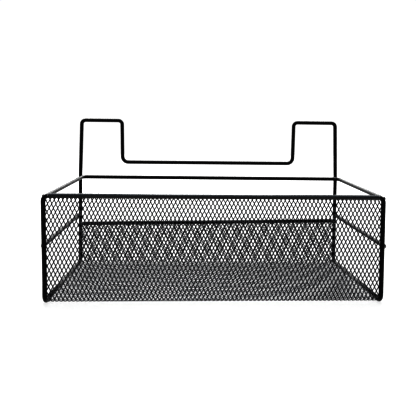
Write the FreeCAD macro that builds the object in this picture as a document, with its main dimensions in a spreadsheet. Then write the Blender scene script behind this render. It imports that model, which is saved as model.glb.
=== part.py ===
import FreeCAD, Part
import math
import os
import Sketcher
from FreeCAD import Placement, Rotation, Vector

# Hanging cable tray: a welded basket of 4 mm wire and expanded metal mesh, open at both ends,
# with two hanger loops standing up from its back. Millimetres. X runs along the tray, +Y is the
# wall side, +Z is up, and the origin is under the middle of the tray, on the surface it stands on.

SIZES = [
    ("wire_dia", 4.0, "every wire"),
    ("tray_width", 296.0, "between the centre lines of the two front posts"),
    ("tray_depth", 140.0, "between the centre lines of the front and rear uprights"),
    ("front_rail_height", 94.5, "centre line above the ground"),
    ("rim_front_height", 93.7, "centre line of the rim wire at the front posts"),
    ("rim_rear_height", 99.9, "centre line of the rim wire along the back"),
    ("rim_shift", 2.5, "the rim wire's rear corners stand this far to +X of square"),
    ("rim_right_gap", 4.0, "the rim's right rear corner stands this far in front of its upright"),
    ("hanger_top_height", 164.8, "centre line of the hanger loops' top bars"),
    ("low_bar_height", 117.3, "centre line of the bar between the hanger loops"),
    ("hanger_lean", 1.7, "each upright's top leans in by this much above the rim"),
    ("hanger_left_inner", 100.7, "inner leg of the left loop at its top, from the middle"),
    ("hanger_right_inner", 97.7, "inner leg of the right loop at its top, from the middle"),
    ("hanger_inner_lean", 0.75, "each inner leg leans in by this much on its way down"),
    ("top_bend", 4.4, "centre line radius of the front and loop corners"),
    ("low_bend", 6.5, "centre line radius where the inner legs meet the low bar"),
    ("floor_bend", 6.0, "centre line radius where the posts turn into the floor rails"),
    ("rim_bend", 5.0, "centre line radius of the rim wire's rear corners"),
    ("mesh_bend", 2.0, "radius at which the middle of the mesh turns into the floor"),
    ("post_joint_height", 20.0, "where the front bow's bar meets the side runs"),
    ("left_post_lean", 1.2, "the left post's top leans out by this much above the joint"),
    ("side_rail_left", 1.6, "the left side rail runs this far outside the post's centre line"),
    ("side_rail_right", 2.2, "the right side rail runs this far outside the post's centre line"),
    ("side_rail_front", 51.0, "centre line of the side rails at the front"),
    ("side_rail_rear", 56.2, "centre line of the side rails at the back"),
    ("side_rail_length", 135.9, "between the faces of the posts and the uprights"),
    ("end_round", 0.7, "rounding of the cut wire ends"),
    ("rear_rail_left", 45.7, "centre line of the rear rail at its left end"),
    ("rear_rail_right", 49.9, "centre line of the rear rail at its right end"),
    ("sheet", 0.8, "depth of the expanded metal"),
    ("edge_gap", 0.1, "between the mesh's cut edges and the wires beside them"),
    ("hem_radius", 2.45, "middle of the sheet where it rolls over a wire"),
    ("hem_start", 9.0, "the sheet leaves its plane this far from the wire that it rolls over"),
    ("hem_overlap", 6.0, "the strip that is rolled over starts this far inside the plain sheet"),
    ("hem_lip", 1.5, "the rolled edge ends this far past the wire's centre line"),
    ("hem_end_gap", 2.0, "the rolled edges stop this far short of the frame's corners"),
]

doc = FreeCAD.newDocument("cable_tray")
sizes = doc.addObject("Spreadsheet::Sheet", "sizes")
for row, (alias, size, note) in enumerate(SIZES, start=1):
    sizes.set(f"A{row}", alias)
    sizes.set(f"B{row}", str(size))
    sizes.set(f"C{row}", note)
    sizes.setAlias(f"B{row}", alias)
doc.recompute()

HALF_WIDTH = "sizes.tray_width / 2"
FRONT = "-sizes.tray_depth / 2"
REAR = "sizes.tray_depth / 2"
WIRE_RADIUS = "sizes.wire_dia / 2"
FLOOR = WIRE_RADIUS  # the floor rails lie on the ground, and the mesh floor is in their middle
RIM_REAR = "sizes.rim_rear_height"
SEAM = "sizes.post_joint_height"
REAR_RAIL_RISE = "(sizes.rear_rail_right - sizes.rear_rail_left) / sizes.tray_width"


def number(expression):
    """Value of an expression over the sheet's aliases."""
    result = sizes.evalExpression(expression)
    return float(getattr(result, "Value", result))


def new_body(label):
    body = doc.addObject("PartDesign::Body", label)
    body.Label = label
    return body


def new_sketch(body, name, role, offset="0"):
    """A sketch on one of the body's own origin planes, moved along that plane's normal."""
    sketch = body.newObject("Sketcher::SketchObject", name)
    plane = next(f for f in body.Origin.OriginFeatures if f.Role == role)
    sketch.AttachmentSupport = (plane, [""])
    sketch.MapMode = "FlatFace"
    sketch.setExpression("AttachmentOffset.Base.z", offset)
    return sketch


def lean(sketch, axis, angle):
    """Turns a sketch about an axis of its plane, by an angle that the sheet drives."""
    if angle:
        sketch.AttachmentOffset = Placement(sketch.AttachmentOffset.Base, Rotation(axis, 1))
        sketch.setExpression("AttachmentOffset.Rotation.Angle", angle)


def pin(sketch, geometry, vertex, place):
    """Holds a vertex at a place given by two expressions."""
    for kind, expression in zip(("DistanceX", "DistanceY"), place):
        rule = Sketcher.Constraint(kind, -1, 1, geometry, vertex, number(expression))
        index = sketch.addConstraint(rule)
        sketch.setExpression(f"Constraints[{index}]", expression)


def draw_circle(sketch, place, radius):
    centre = Vector(number(place[0]), number(place[1]), 0)
    circle = sketch.addGeometry(Part.Circle(centre, Vector(0, 0, 1), number(radius)))
    pin(sketch, circle, 3, place)
    index = sketch.addConstraint(Sketcher.Constraint("Radius", circle, number(radius)))
    sketch.setExpression(f"Constraints[{index}]", radius)


def draw_rectangle(sketch, left, right, low, high):
    """A closed rectangle between four expressions."""
    corners = [(left, low), (right, low), (right, high), (left, high)]
    points = [Vector(number(x), number(y), 0) for x, y in corners]
    sides = [sketch.addGeometry(Part.LineSegment(points[i], points[(i + 1) % 4])) for i in range(4)]
    for i, side in enumerate(sides):
        sketch.addConstraint(Sketcher.Constraint("Coincident", side, 2, sides[(i + 1) % 4], 1))
        sketch.addConstraint(Sketcher.Constraint("Vertical" if i % 2 else "Horizontal", side))
    pin(sketch, sides[0], 1, corners[0])
    pin(sketch, sides[2], 1, corners[2])


def draw_path(sketch, places, bends):
    """Straight runs through the places, with a tangent arc of the given radius at each inner one."""
    points = [Vector(number(x), number(y), 0) for x, y in places]
    marks = [sketch.addGeometry(Part.Point(point), True) for point in points]
    for mark, place in zip(marks, places):
        pin(sketch, mark, 1, place)
    starts, ends, arcs = [points[0]], [], []
    for before, corner, after, bend in zip(points, points[1:], points[2:], bends):
        arrive = (corner - before).normalize()
        leave = (after - corner).normalize()
        side = 1 if arrive.x * leave.y - arrive.y * leave.x > 0 else -1
        radius = number(bend)
        trim = radius * math.tan(arrive.getAngle(leave) / 2)
        ends.append(corner - arrive * trim)
        starts.append(corner + leave * trim)
        centre = ends[-1] + Vector(-arrive.y, arrive.x, 0) * side * radius
        first, last = (ends[-1], starts[-1]) if side > 0 else (starts[-1], ends[-1])
        angles = [math.atan2(point.y - centre.y, point.x - centre.x) for point in (first, last)]
        circle = Part.Circle(centre, Vector(0, 0, 1), radius)
        arcs.append((sketch.addGeometry(Part.ArcOfCircle(circle, *angles)), side))
    ends.append(points[-1])
    runs = [sketch.addGeometry(Part.LineSegment(a, b)) for a, b in zip(starts, ends)]
    sketch.addConstraint(Sketcher.Constraint("Coincident", runs[0], 1, marks[0], 1))
    sketch.addConstraint(Sketcher.Constraint("Coincident", runs[-1], 2, marks[-1], 1))
    for i, ((arc, side), bend) in enumerate(zip(arcs, bends)):
        enter, leave = (1, 2) if side > 0 else (2, 1)
        sketch.addConstraint(Sketcher.Constraint("PointOnObject", marks[i + 1], 1, runs[i]))
        sketch.addConstraint(Sketcher.Constraint("PointOnObject", marks[i + 1], 1, runs[i + 1]))
        sketch.addConstraint(Sketcher.Constraint("Tangent", runs[i], 2, arc, enter))
        sketch.addConstraint(Sketcher.Constraint("Tangent", arc, leave, runs[i + 1], 1))
        index = sketch.addConstraint(Sketcher.Constraint("Radius", arc, number(bend)))
        sketch.setExpression(f"Constraints[{index}]", bend)


def add_pipe(body, name, profile, path):
    pipe = body.newObject("PartDesign::AdditivePipe", name)
    pipe.Profile = profile
    pipe.Spine = (path, [])
    doc.recompute()
    return pipe


def build_frame_wire():
    """One wire bent into the front bow, both floor rails, both uprights and the hanger loops."""
    body = new_body("frame_wire")
    bow = new_sketch(body, "front_bow_path", "XZ_Plane", f"-({FRONT})")
    places = [
        (f"-({HALF_WIDTH})", SEAM),
        (f"-({HALF_WIDTH}) - sizes.left_post_lean", "sizes.front_rail_height"),
        (HALF_WIDTH, "sizes.front_rail_height"),
        (HALF_WIDTH, SEAM),
    ]
    draw_path(bow, places, ["sizes.top_bend"] * 2)
    foot = new_sketch(body, "front_bow_section", "XY_Plane", SEAM)
    draw_circle(foot, (f"-({HALF_WIDTH})", FRONT), WIRE_RADIUS)
    add_pipe(body, "front_bow", foot, bow)

    for name, sign in (("left", "-"), ("right", "")):
        plane = f"{sign}({HALF_WIDTH})"
        run = new_sketch(body, f"{name}_run_path", "YZ_Plane", plane)
        places = [(FRONT, SEAM), (FRONT, FLOOR), (REAR, FLOOR), (REAR, RIM_REAR)]
        draw_path(run, places, ["sizes.floor_bend"] * 2)
        section = new_sketch(body, f"{name}_run_section", "XY_Plane", SEAM)
        draw_circle(section, (plane, FRONT), WIRE_RADIUS)
        add_pipe(body, f"{name}_run", section, run)

    loops = new_sketch(body, "hanger_path", "XZ_Plane", f"-({REAR})")
    places = []
    bends = []
    for sign, inner in (("-", "sizes.hanger_left_inner"), ("", "sizes.hanger_right_inner")):
        loop = [
            (f"{sign}({inner} - sizes.hanger_inner_lean)", "sizes.low_bar_height"),
            (f"{sign}{inner}", "sizes.hanger_top_height"),
            (f"{sign}({HALF_WIDTH} - sizes.hanger_lean)", "sizes.hanger_top_height"),
            (f"{sign}({HALF_WIDTH})", RIM_REAR),
        ]
        radii = ["sizes.low_bend", "sizes.top_bend", "sizes.top_bend"]
        places += loop[::-1] if sign else loop
        bends += radii[::-1] if sign else radii
    draw_path(loops, places, bends)
    section = new_sketch(body, "hanger_section", "XY_Plane", RIM_REAR)
    draw_circle(section, (f"-({HALF_WIDTH})", REAR), WIRE_RADIUS)
    add_pipe(body, "hanger_loops", section, loops)
    return body


def build_rim_wire():
    """A U round the ends and the back, butt welded behind the front corners. It rises to the back,
    and it sits slightly askew: inside its left upright and in front of its right one."""
    body = new_body("rim_wire")
    path = new_sketch(body, "rim_path", "XY_Plane")
    front = f"{FRONT} + {WIRE_RADIUS}"
    places = [
        (f"-({HALF_WIDTH})", front),
        (f"-({HALF_WIDTH}) + sizes.rim_shift", REAR),
        (f"{HALF_WIDTH} + sizes.rim_shift", f"{REAR} - sizes.rim_right_gap"),
        (HALF_WIDTH, front),
    ]
    draw_path(path, places, ["sizes.rim_bend"] * 2)
    section = new_sketch(body, "rim_section", "XZ_Plane", f"-({front})")
    draw_circle(section, (f"-({HALF_WIDTH})", "0"), WIRE_RADIUS)
    add_pipe(body, "rim", section, path)
    body.Placement = Placement(Vector(), Rotation(Vector(1, 0, 0), 1))
    rise = "(sizes.rim_rear_height - sizes.rim_front_height) / sizes.tray_depth"
    body.setExpression("Placement.Rotation.Angle", f"atan({rise})")
    middle = "(sizes.rim_rear_height + sizes.rim_front_height) / 2"
    body.setExpression("Placement.Base.z", middle)
    return body


def build_rod(label, role, length, end_round):
    """A straight wire, centred on its body's origin along the normal of the plane given."""
    body = new_body(label)
    section = new_sketch(body, f"{label}_section", role)
    draw_circle(section, ("0", "0"), WIRE_RADIUS)
    rod = body.newObject("PartDesign::Pad", f"{label}_rod")
    rod.Profile = section
    rod.SideType = "Symmetric"
    rod.setExpression("Length", length)
    doc.recompute()
    if end_round:
        rounding = body.newObject("PartDesign::Fillet", f"{label}_ends")
        circles = [f"Edge{i}" for i, e in enumerate(rod.Shape.Edges, 1) if len(e.Vertexes) == 1]
        rounding.Base = (rod, circles)
        rounding.setExpression("Radius", end_round)
    return body


def build_side_rail(label, x):
    """A straight wire half way up an open end, between the outer sides of its post and upright."""
    body = build_rod(label, "XZ_Plane", "sizes.side_rail_length", "sizes.end_round")
    body.Placement = Placement(Vector(), Rotation(Vector(1, 0, 0), 1))
    rise = "(sizes.side_rail_rear - sizes.side_rail_front) / sizes.tray_depth"
    body.setExpression("Placement.Rotation.Angle", f"atan({rise})")
    body.setExpression("Placement.Base.x", x)
    body.setExpression("Placement.Base.z", "(sizes.side_rail_rear + sizes.side_rail_front) / 2")
    return body


def build_rear_rail():
    """A straight wire between the uprights, along the top of the mesh back."""
    body = build_rod("rear_rail", "YZ_Plane", "sizes.tray_width - sizes.wire_dia", None)
    body.Placement = Placement(Vector(), Rotation(Vector(0, -1, 0), 1))
    body.setExpression("Placement.Rotation.Angle", f"atan({REAR_RAIL_RISE})")
    body.setExpression("Placement.Base.y", REAR)
    body.setExpression("Placement.Base.z", "(sizes.rear_rail_left + sizes.rear_rail_right) / 2")
    return body


def add_sheet(body, name, role, places, bends, across, tilt=None):
    """Sheet that follows a path drawn on one plane and spreads between two ends across it. Its
    path starts upright on the YZ plane, and level on the XZ plane."""
    path = new_sketch(body, f"{name}_path", role)
    draw_path(path, places, bends)
    start_across, start_up = places[0]
    if role == "YZ_Plane":
        section = new_sketch(body, f"{name}_section", "XY_Plane", start_up)
        low, high = f"{start_across} - sizes.sheet / 2", f"{start_across} + sizes.sheet / 2"
        draw_rectangle(section, *across, low, high)
        lean(path, Vector(-1, 0, 0), tilt)
        lean(section, Vector(0, -1, 0), tilt)
    else:
        section = new_sketch(body, f"{name}_section", "YZ_Plane", start_across)
        low, high = f"{start_up} - sizes.sheet / 2", f"{start_up} + sizes.sheet / 2"
        draw_rectangle(section, *across, low, high)
    add_pipe(body, name, section, path)


def rolled_edge(lip_side):
    """Places along and off a sheet, from a wire's centre, that carry its edge over the wire."""
    roll = "sizes.hem_radius"
    places = [
        ("-sizes.hem_start - sizes.hem_overlap", "0"),
        ("-sizes.hem_start", "0"),
        (f"-{roll}", roll),
        (roll, roll),
    ]
    tight = f"{roll} - sizes.edge_gap"
    if lip_side == "outer":
        return places + [(roll, "-sizes.hem_lip")], [roll, roll, tight]
    return places + [(roll, f"-{roll}"), ("-sizes.hem_lip", f"-{roll}")], [roll, roll, tight, tight]


def cut_floor_sides(body, half_sheet, reach):
    """Takes away both side strips of the plain floor, where the rolled edges carry it on."""
    before = body.Shape.Volume
    inner = f"{HALF_WIDTH} - sizes.hem_start - sizes.hem_overlap / 2"
    strips = new_sketch(body, "side_strips", "XY_Plane", FLOOR)
    draw_rectangle(strips, inner, HALF_WIDTH, f"-({reach})", reach)
    draw_rectangle(strips, f"-({HALF_WIDTH})", f"-({inner})", f"-({reach})", reach)
    pocket = body.newObject("PartDesign::Pocket", "floor_sides")
    pocket.Profile = strips
    pocket.SideType = "Symmetric"
    pocket.setExpression("Length", "2 * sizes.sheet")
    doc.recompute()
    cut = 4 * number(f"(({half_sheet}) - ({inner})) * ({reach}) * sizes.sheet")
    if abs(before - body.Shape.Volume - cut) > 1:
        raise RuntimeError("the floor's side strips weren't cut")


def build_mesh_tray():
    """One sheet of expanded metal: front panel, floor and back, in the middle of the wires that
    frame it, with its edges rolled over the front rail, the rear rail and the floor rails. It is
    a plain sheet here, without its diamonds."""
    body = new_body("mesh_tray")
    half_sheet = f"{HALF_WIDTH} - {WIRE_RADIUS} - sizes.edge_gap"
    places = [
        (FRONT, "sizes.front_rail_height - sizes.hem_start"),
        (FRONT, FLOOR),
        (REAR, FLOOR),
        (REAR, "sizes.rear_rail_left - sizes.hem_start"),
    ]
    across = (f"-({half_sheet})", half_sheet)
    add_sheet(body, "pan", "YZ_Plane", places, ["sizes.mesh_bend"] * 2, across)
    side_reach = f"{REAR} - sizes.floor_bend - sizes.hem_end_gap"
    cut_floor_sides(body, half_sheet, side_reach)

    edge, bends = rolled_edge("far")
    front = [(f"{FRONT} + {off}", f"sizes.front_rail_height + {along}") for along, off in edge]
    reach = f"{HALF_WIDTH} - sizes.top_bend - sizes.hem_end_gap"
    add_sheet(body, "front_hem", "YZ_Plane", front, bends, (f"-({reach})", reach))
    height = "(sizes.rear_rail_left + sizes.rear_rail_right) / 2"
    rear = [(f"{REAR} - ({off})", f"{height} + {along}") for along, off in edge]
    reach = f"{half_sheet} - sizes.hem_end_gap"
    tilt = f"atan({REAR_RAIL_RISE})"
    add_sheet(body, "rear_hem", "YZ_Plane", rear, bends, (f"-({reach})", reach), tilt)

    edge, bends = rolled_edge("outer")
    across = (f"-({side_reach})", side_reach)
    for name, sign in (("left", "-"), ("right", "")):
        places = [(f"{sign}({HALF_WIDTH} + {along})", f"{FLOOR} + {off}") for along, off in edge]
        add_sheet(body, f"{name}_hem", "XZ_Plane", places, bends, across)
    return body


def check(thing):
    """Raises if an object failed to compute."""
    if "Invalid" in thing.State or "Error" in thing.State:
        raise RuntimeError(f"{thing.Label}: {thing.State}")


def export(bodies):
    doc.recompute()
    for thing in doc.Objects:
        check(thing)
    for body in bodies:
        shape = body.Shape
        if shape.isNull() or not shape.isValid() or len(shape.Solids) != 1:
            raise RuntimeError(f"{body.Label}: not one valid solid")
        print(f"{body.Label}: {shape.Volume:.1f} mm3, {shape.BoundBox}")
    os.makedirs("parts", exist_ok=True)
    for body in bodies:
        body.Shape.exportStep(f"parts/{body.Label}.step")


export(
    [
        build_frame_wire(),
        build_rim_wire(),
        build_side_rail("left_side_rail", f"-({HALF_WIDTH}) - sizes.side_rail_left"),
        build_side_rail("right_side_rail", f"{HALF_WIDTH} + sizes.side_rail_right"),
        build_rear_rail(),
        build_mesh_tray(),
    ]
)
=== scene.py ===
import math

import bmesh
import bpy
import numpy as np
from mathutils import Euler, Matrix, Vector


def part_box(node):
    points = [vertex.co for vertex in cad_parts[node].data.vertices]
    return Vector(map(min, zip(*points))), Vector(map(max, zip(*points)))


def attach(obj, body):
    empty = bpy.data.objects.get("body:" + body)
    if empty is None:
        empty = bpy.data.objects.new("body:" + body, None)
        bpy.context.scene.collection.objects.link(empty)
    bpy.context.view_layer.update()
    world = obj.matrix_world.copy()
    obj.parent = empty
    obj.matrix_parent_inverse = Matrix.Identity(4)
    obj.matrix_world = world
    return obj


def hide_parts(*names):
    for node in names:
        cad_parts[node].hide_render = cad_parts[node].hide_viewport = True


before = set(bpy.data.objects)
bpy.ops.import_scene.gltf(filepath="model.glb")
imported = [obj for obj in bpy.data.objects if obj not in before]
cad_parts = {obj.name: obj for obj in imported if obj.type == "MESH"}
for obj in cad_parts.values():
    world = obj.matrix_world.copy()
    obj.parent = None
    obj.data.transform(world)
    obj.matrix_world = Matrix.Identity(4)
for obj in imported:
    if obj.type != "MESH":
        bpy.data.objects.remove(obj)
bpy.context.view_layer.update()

# A hanging cable tray: black powder coat over 4 mm wire and expanded metal. Metres; X runs along
# the tray, +Y is the wall side and +Z is up. Places come from the CAD nodes' boxes.

WIRE = 0.002  # radius of every wire
STRAND = 0.0005  # depth that the coated mesh fills, its tilted strands included
frame_low, frame_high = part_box("frame_wire")
tray_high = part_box("mesh_tray")[1]
rail_low, rail_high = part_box("rear_rail")
rim_low, rim_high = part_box("rim_wire")

HALF_WIDTH = frame_high.x - WIRE
REAR = frame_high.y - WIRE
FRONT = -REAR
FLOOR = WIRE
FRONT_RAIL = tray_high.z - (tray_high.y - REAR)
FLOOR_BEND = 0.006  # where the posts turn into the floor rails
MESH_BEND = 0.002  # where the mesh turns into its floor
IN_BEND = 0.00007  # this much of the left post's lean is taken up by its top bend
LEFT_LEAN = -HALF_WIDTH - frame_low.x - WIRE + IN_BEND  # the left post's top stands out by this much
POST_JOINT = 0.02  # height at which that post starts to lean

# The sheet's edges: how far from a wire they leave the sheet's plane, and where they end.
ROLL = WIRE + 0.0002  # radius at which the sheet's middle rolls over a wire
EDGE_ZONE = 0.015
EDGE_START = 0.009
EDGE_LIP = 0.0015
EDGE_BEND = ROLL - 0.0001  # a little tighter, so that a short straight run is left between bends
PRESSED = 0.38  # what is left of the sheet's depth where it is pressed round a wire
PRESSED_OVER = 0.005  # the sheet thins to that over this length
INSIDE_WIRE = HALF_WIDTH - WIRE / 5  # cut ends of the mesh are welded into the wires
BESIDE_GAP = 0.0008
BESIDE_WIRE = HALF_WIDTH - WIRE - BESIDE_GAP
SIDE_CLEAR = 0.002  # the side edges end this far before the floor rails' bends
SIDE_REACH = REAR - FLOOR_BEND - SIDE_CLEAR  # the side edges are rolled between these, + and -

# The diamonds: openings lie at whole columns and rows, and half way between four of them.
COLUMN = 0.003656
ROW = 0.0072643
FIRST_OPENING = (0.000393, 0.09216)  # across, and along the sheet from the front rail
COLUMN_LEAN = -0.000181  # across, for each row
ROW_LEAN = 0.0000541  # along, for each column
WIDER_RIGHT = 0.000132  # the sheet is stretched a little more to the right and to the back
WIDER_BACK = 0.000649
LONGER_BACK = 0.000441

# A junction of four strands, in columns and rows, and its section in metres.
HALF_COLUMN, HALF_ROW, HALF_SIDE = 0.178, 0.161, 0.049
JUNCTION = (
    (0, -HALF_ROW),
    (HALF_COLUMN, -HALF_SIDE),
    (HALF_COLUMN, HALF_SIDE),
    (0, HALF_ROW),
    (-HALF_COLUMN, HALF_SIDE),
    (-HALF_COLUMN, -HALF_SIDE),
)
JUNCTION_FACE = 0.7  # its flat face is this much of its outline
STRAND_FACE = 0.2  # a strand's face starts this far in from its side, as a share of its width
STRAND_TILT = 0.00007  # how far a junction's two ends stand above and below its middle
MOST_SIDES = 12  # a cut strand's end has no more sides than this
STRAND_LEVELS = (STRAND / 2 - STRAND_TILT, STRAND / 5, -STRAND / 5, STRAND_TILT - STRAND / 2)


class Route:
    """A line of straight runs and tangent arcs in a plane, read by the distance along it."""

    def __init__(self, corners, bends):
        corners = [np.array(corner, float) for corner in corners]
        self.pieces = []
        start = corners[0]
        for corner, after, bend in zip(corners[1:], corners[2:], bends):
            arrive = (corner - start) / np.linalg.norm(corner - start)
            leave = (after - corner) / np.linalg.norm(after - corner)
            turn = math.atan2(arrive[0] * leave[1] - arrive[1] * leave[0], arrive @ leave)
            trim = bend * math.tan(abs(turn) / 2)
            self.add_run(start, corner - arrive * trim)
            spoke = np.array((arrive[1], -arrive[0])) * math.copysign(bend, turn)
            centre = corner - arrive * trim - spoke
            self.pieces.append((bend * abs(turn), centre, spoke, turn))
            start = corner + leave * trim
        self.add_run(start, corners[-1])
        self.length = sum(piece[0] for piece in self.pieces)

    def add_run(self, start, end):
        self.pieces.append((np.linalg.norm(end - start), start, end - start, None))

    def at(self, distances, off):
        """Places at these distances along the route, moved off it to its left."""
        places = np.zeros((len(distances), 2))
        begin = 0.0
        for i, (length, base, reach, turn) in enumerate(self.pieces):
            low = -np.inf if i == 0 else begin
            high = np.inf if i == len(self.pieces) - 1 else begin + length
            here = (distances >= low) & (distances < high)
            share = ((distances[here] - begin) / length)[:, None]
            aside = off[here][:, None]
            if turn is None:
                left = np.array((-reach[1], reach[0])) / length
                places[here] = base + share * reach + aside * left
            else:
                across = np.array((-reach[1], reach[0]))
                spoke = np.cos(share * turn) * reach + np.sin(share * turn) * across
                inward = -math.copysign(1, turn) / np.linalg.norm(reach)
                places[here] = base + spoke * (1 + aside * inward)
            begin += length
        return places


def rolled_edge(lip_side):
    """Route of a rolled edge from inside the sheet, in distances along and off the sheet from the
    wire's middle."""
    places = [(-EDGE_ZONE, 0), (-EDGE_START, 0), (-ROLL, ROLL), (ROLL, ROLL)]
    if lip_side == "outer":
        return Route(places + [(ROLL, -EDGE_LIP)], [ROLL, ROLL, EDGE_BEND])
    places += [(ROLL, -ROLL), (-EDGE_LIP, -ROLL)]
    return Route(places, [ROLL, ROLL, EDGE_BEND, EDGE_BEND])


PAN = Route([(FRONT, FRONT_RAIL), (FRONT, FLOOR), (REAR, FLOOR), (REAR, FRONT_RAIL)], [MESH_BEND] * 2)
FAR_EDGE = rolled_edge("far")
SIDE_EDGE = rolled_edge("outer")
RAIL_RISE = (rail_high.z - rail_low.z - 2 * WIRE) / (rail_high.x - rail_low.x)
RAIL_MIDDLE = (rail_high.z + rail_low.z) / 2
BACK_SPARE = FRONT_RAIL - RAIL_MIDDLE  # PAN runs on above the rear rail by this much at the middle


def pressed(off, to_wire):
    """How far off the sheet's middle a point is, once the sheet is pressed flat towards a wire."""
    share = np.clip((EDGE_START - to_wire) / PRESSED_OVER, 0, 1)
    return off * (1 - (1 - PRESSED) * share)


def fold(flat):
    """Carries points of the flat sheet, as (across, along, off its middle), to where it is bent."""
    across, along, off = flat.T
    x = across.copy()
    y, z = PAN.at(along, off).T

    front = along < EDGE_ZONE
    up, inward = FAR_EDGE.at(EDGE_ZONE - along[front], pressed(off[front], along[front])).T
    y[front] = FRONT + inward
    z[front] = FRONT_RAIL + up

    rail = RAIL_MIDDLE + RAIL_RISE * across
    to_rail = PAN.length - FRONT_RAIL + rail - along
    rear = to_rail < EDGE_ZONE
    up, inward = FAR_EDGE.at(EDGE_ZONE - to_rail[rear], pressed(off[rear], to_rail[rear])).T
    y[rear] = REAR - inward
    z[rear] = rail[rear] + up

    side = (abs(across) > HALF_WIDTH - EDGE_ZONE) & (abs(y) <= SIDE_REACH + STRAND_TILT) & (z < 2 * WIRE)
    to_wire = HALF_WIDTH - abs(across[side])
    out, up = SIDE_EDGE.at(EDGE_ZONE - to_wire, pressed(off[side], to_wire)).T
    x[side] = np.sign(across[side]) * (HALF_WIDTH + out)
    z[side] = FLOOR + up
    return np.stack((x, y, z), axis=1)


def lattice(columns, rows):
    """Where a column and a row lie on the flat sheet."""
    spread = 1 + WIDER_RIGHT * columns + WIDER_BACK * rows
    across = FIRST_OPENING[0] + COLUMN * columns * spread + COLUMN_LEAN * rows
    along = FIRST_OPENING[1] + ROW * rows * (1 + LONGER_BACK * rows) + ROW_LEAN * columns
    return across, along


def junction_points():
    """Points of one junction and of the middles of its two strands to the next row, each as
    (columns, rows, level), four levels to an outline point."""
    outline = [np.array(point) for point in JUNCTION]
    next_right = [point + 0.5 for point in outline]
    next_left = [point + np.array((-0.5, 0.5)) for point in outline]
    inner = [point * JUNCTION_FACE for point in outline]
    sides = ((2, next_right[0], 3, next_right[5]), (4, next_left[0], 3, next_left[1]))
    for near, after, far, beyond in sides:
        pair = [(outline[near] + after) / 2, (outline[far] + beyond) / 2]
        outline += pair
        inner += [pair[0] + STRAND_FACE * (pair[1] - pair[0]), pair[1] + STRAND_FACE * (pair[0] - pair[1])]
    points = []
    for i, (edge, face) in enumerate(zip(outline, inner)):
        tilt = STRAND_TILT * edge[1] / HALF_ROW if i < len(JUNCTION) else 0
        for place, level in zip((face, edge, edge, face), STRAND_LEVELS):
            points.append((*place, level + tilt))
    return np.array(points)


def junction_faces():
    """Faces of one junction as (junction, point) corners, where junction 0 is its own, 1 the next
    to the right and 2 the next to the left. The first list is the junction, then its strands."""
    own = []
    for a, b, c, d in ((0, 1, 2, 3), (0, 3, 4, 5)):
        own.append([(0, 4 * k) for k in (a, b, c, d)][::-1])
        own.append([(0, 4 * k + 3) for k in (a, b, c, d)])
    for a, b in ((1, 2), (4, 5)):
        for level in range(3):
            own.append([(0, 4 * k + n) for k, n in ((a, level), (b, level), (b, level + 1), (a, level + 1))])
    strands = []
    for which, near, far, middle, near_end, far_end in ((1, 2, 3, 6, 0, 5), (2, 4, 3, 8, 0, 1)):
        rings = [((0, near), (0, far)), ((0, middle), (0, middle + 1)), ((which, near_end), (which, far_end))]
        faces = []
        for (a, b), (c, d) in zip(rings, rings[1:]):
            section = [(*a, 0), (*a, 1), (*a, 2), (*a, 3), (*b, 3), (*b, 2), (*b, 1), (*b, 0)]
            onward = [(*c, 0), (*c, 1), (*c, 2), (*c, 3), (*d, 3), (*d, 2), (*d, 1), (*d, 0)]
            for k in range(8):
                corners = (section[k], onward[k], onward[(k + 1) % 8], section[(k + 1) % 8])
                face = [(owner, 4 * point + level) for owner, point, level in corners]
                faces.append(face if which == 2 else face[::-1])
        strands.append((which, faces))
    return own, strands


def expanded_metal(name, start, end, half_width, slants):
    """Part of the sheet between two distances along it, cut at its sides. The slants move its first
    and its last cut along as they go across."""
    margin = ROW + max(slants) * half_width
    spare = 8  # half columns beyond each side, which the lean needs
    rows = range(*(math.floor(2 * (v - FIRST_OPENING[1]) / ROW) for v in (start - margin, end + margin)))
    span = math.ceil(2 * half_width / COLUMN) + spare
    keys = [(i, j) for j in rows for i in range(-span, span + 1) if (i + j) % 2]
    number = {key: k for k, key in enumerate(keys)}
    points = junction_points()
    grid = np.array(keys) / 2
    columns = (grid[:, :1] + points[:, 0]).ravel()
    levels = np.tile(points[:, 2], len(keys))
    across, along = lattice(columns, (grid[:, 1:] + points[:, 1]).ravel())
    flat = np.stack((across, along, levels), axis=1)

    own, strands = junction_faces()
    first = np.arange(len(keys)) * len(points)
    faces = [np.stack([first + point for _, point in face], axis=1) for face in own]
    for which, strand in strands:
        step = (1, 1) if which == 1 else (-1, 1)
        pairs = [(k, number.get((i + step[0], j + step[1]))) for (i, j), k in number.items()]
        pairs = np.array([pair for pair in pairs if pair[1] is not None]) * len(points)
        for face in strand:
            faces.append(np.stack([pairs[:, 1 if owner else 0] + point for owner, point in face], axis=1))
    mesh = bpy.data.meshes.new(name)
    mesh.from_pydata(flat, [], np.concatenate(faces))

    cut = bmesh.new()
    cut.from_mesh(mesh)
    for place, normal in (
        ((-half_width, 0, 0), (-1, 0, 0)),
        ((half_width, 0, 0), (1, 0, 0)),
        ((0, start, 0), (slants[0], -1, 0)),
        ((0, end, 0), (-slants[1], 1, 0)),
    ):
        everything = cut.verts[:] + cut.edges[:] + cut.faces[:]
        result = bmesh.ops.bisect_plane(
            cut, geom=everything, plane_co=place, plane_no=normal, clear_outer=True
        )
        edges = [part for part in result["geom_cut"] if isinstance(part, bmesh.types.BMEdge)]
        bmesh.ops.holes_fill(cut, edges=edges, sides=MOST_SIDES)
    cut.to_mesh(mesh)
    cut.free()

    flat = np.empty(len(mesh.vertices) * 3)
    mesh.vertices.foreach_get("co", flat)
    mesh.vertices.foreach_set("co", fold(flat.reshape(-1, 3)).ravel())
    mesh.shade_smooth()
    mesh.update()
    piece = bpy.data.objects.new(name, mesh)
    bpy.context.scene.collection.objects.link(piece)
    return piece


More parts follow.
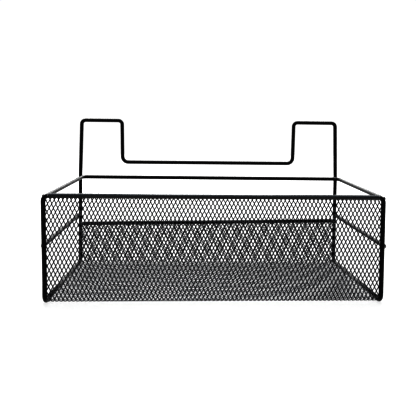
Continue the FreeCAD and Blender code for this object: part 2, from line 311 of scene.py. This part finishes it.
def noise(nodes, scale, detail=2.0):
    """A noise texture in the piece's own metres."""
    place = nodes.new("ShaderNodeTexCoord")
    texture = nodes.new("ShaderNodeTexNoise")
    texture.inputs["Scale"].default_value = scale
    texture.inputs["Detail"].default_value = detail
    nodes.id_data.links.new(place.outputs["Object"], texture.inputs["Vector"])
    return texture.outputs["Fac"]


def ramp(nodes, source, low, high, colours):
    """Carries a number between low and high to a colour between two."""
    fade = nodes.new("ShaderNodeValToRGB")
    for stop, place, colour in zip(fade.color_ramp.elements, (low, high), colours):
        stop.position = place
        stop.color = (*colour, 1)
    nodes.id_data.links.new(source, fade.inputs["Fac"])
    return fade.outputs["Color"]


def powder_coat(name, dark, light, rough, grain, sheen=0.15, top_highlight=None):
    """Satin black powder coat: uneven black, fine orange peel, and duller patches where it has been
    handled. Its upward-facing side can get a painted highlight: a lighter colour for the overhead light it
    reflects."""
    material = bpy.data.materials.new(name)
    material.use_nodes = True
    nodes, links = material.node_tree.nodes, material.node_tree.links
    shader = nodes["Principled BSDF"]
    colour = ramp(nodes, noise(nodes, 90), 0.35, 0.7, (dark, light))
    # Painted highlight: faces that point upwards blend towards a lighter colour, standing in for reflected
    # overhead light.
    if top_highlight:
        facing = nodes.new("ShaderNodeNewGeometry")
        axes = nodes.new("ShaderNodeSeparateXYZ")
        links.new(facing.outputs["Normal"], axes.inputs["Vector"])
        share = ramp(nodes, axes.outputs["Z"], 0.0, 0.35, ((0, 0, 0), (1, 1, 1)))
        highlight_mix = nodes.new("ShaderNodeMix")
        highlight_mix.data_type = "RGBA"
        links.new(share, highlight_mix.inputs["Factor"])
        links.new(colour, highlight_mix.inputs["A"])
        highlight_mix.inputs["B"].default_value = (*top_highlight, 1)
        colour = highlight_mix.outputs["Result"]
    links.new(colour, shader.inputs["Base Color"])
    patches = ramp(nodes, noise(nodes, 260, 4), 0.3, 0.75, ((rough[0],) * 3, (rough[1],) * 3))
    links.new(patches, shader.inputs["Roughness"])
    shader.inputs["Specular IOR Level"].default_value = sheen
    bump = nodes.new("ShaderNodeBump")
    bump.inputs["Strength"].default_value = 0.35
    bump.inputs["Distance"].default_value = grain
    links.new(noise(nodes, 1600, 3), bump.inputs["Height"])
    links.new(bump.outputs["Normal"], shader.inputs["Normal"])
    return material


wire_coat = powder_coat("wire_coat", (0.001, 0.001, 0.0012), (0.004, 0.004, 0.0045), (0.3, 0.42), 0.00006)
mesh_coat = powder_coat("mesh_coat", (0.016, 0.018, 0.024), (0.034, 0.037, 0.047), (0.22, 0.34), 0.00005, 0.7)
# The front rail's film gets a painted highlight, a lighter grey-blue on its upper side.
film_coat = powder_coat(
    "film_coat", (0.001, 0.001, 0.0012), (0.004, 0.004, 0.005), (0.2, 0.3), 0.00003, 0.6, (0.06, 0.068, 0.077)
)
weld_coat = powder_coat("weld_coat", (0.002, 0.002, 0.0022), (0.006, 0.006, 0.0065), (0.1, 0.2), 0.00005, 1.0)
for node in ("frame_wire", "rim_wire", "left_side_rail", "right_side_rail", "rear_rail"):
    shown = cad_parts[node]
    shown.data.materials.clear()
    shown.data.materials.append(wire_coat)

floor_start = PAN.pieces[0][0] + PAN.pieces[1][0]
floor_middle = floor_start + REAR - MESH_BEND
lip = EDGE_ZONE - FAR_EDGE.length
clear = 1.5 * WIRE  # the rolled hems part from the flat panels this far from a wire's middle
rear_rail_along = PAN.length - BACK_SPARE
side_end = HALF_WIDTH - EDGE_ZONE + SIDE_EDGE.length
SHEET_PARTS = (
    ("front_hem_mesh", lip, clear, BESIDE_WIRE, (0, 0)),
    ("front_mesh", clear, floor_middle - SIDE_REACH, INSIDE_WIRE, (0, 0)),
    ("floor_mesh_front", floor_middle - SIDE_REACH, floor_middle, side_end, (0, 0)),
    ("floor_mesh_back", floor_middle, floor_middle + SIDE_REACH, side_end, (0, 0)),
    ("back_mesh", floor_middle + SIDE_REACH, rear_rail_along - clear, INSIDE_WIRE, (0, RAIL_RISE)),
    ("rear_hem_mesh", rear_rail_along - clear, rear_rail_along - lip, BESIDE_WIRE, (RAIL_RISE,) * 2),
)
for name, start, end, half_width, slants in SHEET_PARTS:
    piece = expanded_metal(name, start, end, half_width, slants)
    piece.data.materials.append(mesh_coat)
    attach(piece, "root")
    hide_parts("mesh_tray")

FILM = 0.0001  # half of the depth of the coat that fills the pressed diamonds
FILM_STEPS = 48
FILM_CLEAR = 0.0046  # the front film stops this far before the posts' middles, short of the rail's bends
FILM_END = HALF_WIDTH - FILM_CLEAR
SIDE_FILM = 0.0035  # how far before the wire's middle a side film starts
REAR_FILM_CLEAR = 0.001
REAR_FILM_END = BESIDE_WIRE - REAR_FILM_CLEAR


def film(name, route, first, ends):
    """The coat that closes the diamonds where the sheet is pressed round a wire, from this far before
    the wire's middle. Each of its two ends carries distances along and off the sheet to a place."""
    steps = np.linspace(EDGE_ZONE - first, route.length - FILM, FILM_STEPS)
    outer = route.at(steps, np.full(len(steps), -FILM))
    inner = route.at(steps, np.full(len(steps), FILM))
    section = np.concatenate((outer, inner[::-1]))
    rings = [np.array([end(along, off) for along, off in section]) for end in ends]
    count = len(section)
    faces = [(k, (k + 1) % count, count + (k + 1) % count, count + k) for k in range(count)]
    for ring in (0, count):
        for k in range(FILM_STEPS - 1):
            faces.append((ring + k, ring + k + 1, ring + count - 2 - k, ring + count - 1 - k))
    mesh = bpy.data.meshes.new(name)
    mesh.from_pydata(np.concatenate(rings), [], faces)
    shaped = bmesh.new()
    shaped.from_mesh(mesh)
    bmesh.ops.recalc_face_normals(shaped, faces=shaped.faces)
    shaped.to_mesh(mesh)
    shaped.free()
    mesh.shade_smooth()
    piece = bpy.data.objects.new(name, mesh)
    bpy.context.scene.collection.objects.link(piece)
    return piece


WELD_GRAIN = 0.0003  # size of the cells that the beads are melted together from
WELD_WOBBLE = 0.00012  # how far the lumps of a bead stray
LARGE, SMALL = 1.12, 1.0  # sizes of the beads
LUMPS = ((0.0, 1.06), (0.33, 1.12), (0.6, 1.08), (0.9, 1.02))  # place from wire to wire, and radius
left_low, left_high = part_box("left_side_rail")
right_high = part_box("right_side_rail")[1]


def beads():
    """Each weld as the two places that it joins, on the middles of the wires, and its size."""
    lean = LEFT_LEAN * (left_low.z - POST_JOINT) / (FRONT_RAIL - POST_JOINT)
    front_low = left_low.z + WIRE
    rear_high = left_high.z - WIRE
    rim_front = rim_low.z + WIRE
    rim_rear = rim_high.z - WIRE
    left_x, right_x = left_low.x + WIRE, right_high.x - WIRE
    inside = WIRE * 1.15
    left_corner = (-HALF_WIDTH + 0.0036, REAR - 0.0018, rim_rear)  # the rim's corners stand off the uprights
    right_corner = (HALF_WIDTH - 0.0012, REAR - 0.0040, rim_rear)
    return [
        ((left_x, FRONT + inside, front_low), (-HALF_WIDTH - lean, FRONT, front_low), SMALL),
        ((left_x, REAR - inside, rear_high), (-HALF_WIDTH, REAR, rear_high), SMALL),
        ((right_x, FRONT + inside, front_low), (HALF_WIDTH, FRONT, front_low), LARGE),
        ((right_x, REAR - inside, rear_high), (HALF_WIDTH, REAR, rear_high), SMALL),
        ((-HALF_WIDTH, FRONT + inside, rim_front), (-HALF_WIDTH, FRONT, rim_front), LARGE),
        ((HALF_WIDTH, FRONT + inside, rim_front), (HALF_WIDTH, FRONT, rim_front), SMALL),
        (left_corner, (-HALF_WIDTH, REAR, rim_rear), SMALL),
        (right_corner, (HALF_WIDTH, REAR, rim_rear), SMALL),
        ((-HALF_WIDTH + inside, REAR, rail_low.z + WIRE), (-HALF_WIDTH, REAR, rail_low.z + WIRE), SMALL),
        ((HALF_WIDTH - inside, REAR, rail_high.z - WIRE), (HALF_WIDTH, REAR, rail_high.z - WIRE), SMALL),
    ]


def melt_welds(name):
    """Small uneven beads of weld, each melted into the two wires that it joins."""
    dice = np.random.default_rng(7)
    lumps = bmesh.new()
    for near, far, size in beads():
        near, far = Vector(near), Vector(far)
        for share, radius in LUMPS:
            wobble = Vector(dice.normal(0, WELD_WOBBLE, 3))
            place = Matrix.Translation(near.lerp(far, share) + wobble)
            bmesh.ops.create_icosphere(lumps, subdivisions=3, radius=size * radius * WIRE, matrix=place)
    mesh = bpy.data.meshes.new(name)
    lumps.to_mesh(mesh)
    lumps.free()
    piece = bpy.data.objects.new(name, mesh)
    bpy.context.scene.collection.objects.link(piece)
    melt = piece.modifiers.new("melt", "REMESH")
    melt.mode = "VOXEL"
    melt.voxel_size = WELD_GRAIN
    settle = piece.modifiers.new("settle", "SMOOTH")
    settle.factor = 0.5
    settle.iterations = 6
    bpy.context.view_layer.update()
    seen = piece.evaluated_get(bpy.context.evaluated_depsgraph_get())
    melted = bpy.data.meshes.new_from_object(seen)
    piece.modifiers.clear()
    piece.data = melted
    piece.data.shade_smooth()
    return piece


def front_end(x):
    """An end of the front rail's film, at this place across. The next two do the same elsewhere."""
    return lambda along, off: (x, FRONT + off, FRONT_RAIL + along)


def rear_end(x):
    return lambda along, off: (x, REAR - off, RAIL_MIDDLE + RAIL_RISE * x + along)


def side_end_at(side, y):
    return lambda along, off: (side * (HALF_WIDTH + along), y, FLOOR + off)


FRONT_ENDS = front_end(-FILM_END), front_end(FILM_END)
REAR_ENDS = rear_end(-REAR_FILM_END), rear_end(REAR_FILM_END)
LEFT_ENDS = side_end_at(-1, -SIDE_REACH), side_end_at(-1, SIDE_REACH)
RIGHT_ENDS = side_end_at(1, -SIDE_REACH), side_end_at(1, SIDE_REACH)
FILMS = (
    ("front_hem_film", FAR_EDGE, WIRE / 2, FRONT_ENDS, film_coat),
    ("rear_hem_film", FAR_EDGE, WIRE / 2, REAR_ENDS, wire_coat),
    ("left_hem_film", SIDE_EDGE, SIDE_FILM, LEFT_ENDS, wire_coat),
    ("right_hem_film", SIDE_EDGE, SIDE_FILM, RIGHT_ENDS, wire_coat),
)
for name, route, first, ends, coat in FILMS:
    piece = film(name, route, first, ends)
    piece.data.materials.append(coat)
    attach(piece, "root")
    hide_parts("mesh_tray")
welds = melt_welds("weld_beads")
welds.data.materials.clear()
welds.data.materials.append(weld_coat)
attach(welds, "root")

# Studio: pale paper that glows a little more away from the tray, a dome that is bright above and
# behind, and a soft box overhead.
FLOOR_REACH = 4  # half of the paper's width
ground = bpy.data.meshes.new("floor")
sides = ((-1, -1), (1, -1), (1, 1), (-1, 1))
ground.from_pydata([(FLOOR_REACH * x, FLOOR_REACH * y, 0) for x, y in sides], [], [(0, 1, 2, 3)])
floor = bpy.data.objects.new("floor", ground)
bpy.context.scene.collection.objects.link(floor)
paper = bpy.data.materials.new("paper")
paper.use_nodes = True
sheet = paper.node_tree.nodes["Principled BSDF"]
sheet.inputs["Base Color"].default_value = (0.12, 0.12, 0.12, 1)
sheet.inputs["Roughness"].default_value = 0.9
sheet.inputs["Emission Strength"].default_value = 1
place = paper.node_tree.nodes.new("ShaderNodeTexCoord")
reach = paper.node_tree.nodes.new("ShaderNodeVectorMath")
reach.operation = "LENGTH"
paper.node_tree.links.new(place.outputs["Object"], reach.inputs[0])
glow = ramp(paper.node_tree.nodes, reach.outputs["Value"], 0.25, 1.0, ((0.78,) * 3, (0.95,) * 3))
paper.node_tree.links.new(glow, sheet.inputs["Emission Color"])
ground.materials.append(paper)

world = bpy.data.worlds.new("studio")
bpy.context.scene.world = world
world.use_nodes = True
nodes, links = world.node_tree.nodes, world.node_tree.links
direction = nodes.new("ShaderNodeTexCoord")
axes = nodes.new("ShaderNodeSeparateXYZ")
links.new(direction.outputs["Generated"], axes.inputs["Vector"])
behind = ramp(nodes, axes.outputs["Y"], 0.0, 0.6, ((0.05, 0.05, 0.05), (1, 1, 1)))
above = ramp(nodes, axes.outputs["Z"], 0.35, 0.9, ((0, 0, 0), (1.0, 1.0, 1.0)))
both = nodes.new("ShaderNodeMix")
both.data_type = "RGBA"
both.blend_type = "LIGHTEN"
both.inputs["Factor"].default_value = 1
links.new(behind, both.inputs["A"])
links.new(above, both.inputs["B"])
path = nodes.new("ShaderNodeLightPath")
seen = nodes.new("ShaderNodeMix")
seen.data_type = "RGBA"
links.new(path.outputs["Is Camera Ray"], seen.inputs["Factor"])
links.new(both.outputs["Result"], seen.inputs["A"])
seen.inputs["B"].default_value = (0.7, 0.7, 0.7, 1)
links.new(seen.outputs["Result"], nodes["Background"].inputs["Color"])
nodes["Background"].inputs["Strength"].default_value = 1.5

soft_box = bpy.data.lights.new("soft_box", "AREA")
soft_box.energy = 60
soft_box.size = 1.7
lamp = bpy.data.objects.new("soft_box", soft_box)
lamp.location = (0, 0.75, 1.05)
lamp.rotation_euler = (math.radians(-35), 0, 0)
bpy.context.scene.collection.objects.link(lamp)
bpy.context.scene.view_settings.view_transform = "Standard"
bpy.context.scene.view_settings.gamma = 0.55  # deep blacks and hard, dark edges against the white

# In front of the tray, a little to the left of its middle and nearly level.
camera = bpy.data.objects.new("camera", bpy.data.cameras.new("camera"))
camera.location = (-0.02565, -0.4862, 0.1447)
camera.rotation_euler = Euler(math.radians(turn) for turn in (87.42, -0.63, -2.435))
camera.data.lens = 41.6
camera.data.sensor_width = 36
camera.data.shift_y = -0.1137
bpy.context.scene.collection.objects.link(camera)
bpy.context.scene.camera = camera
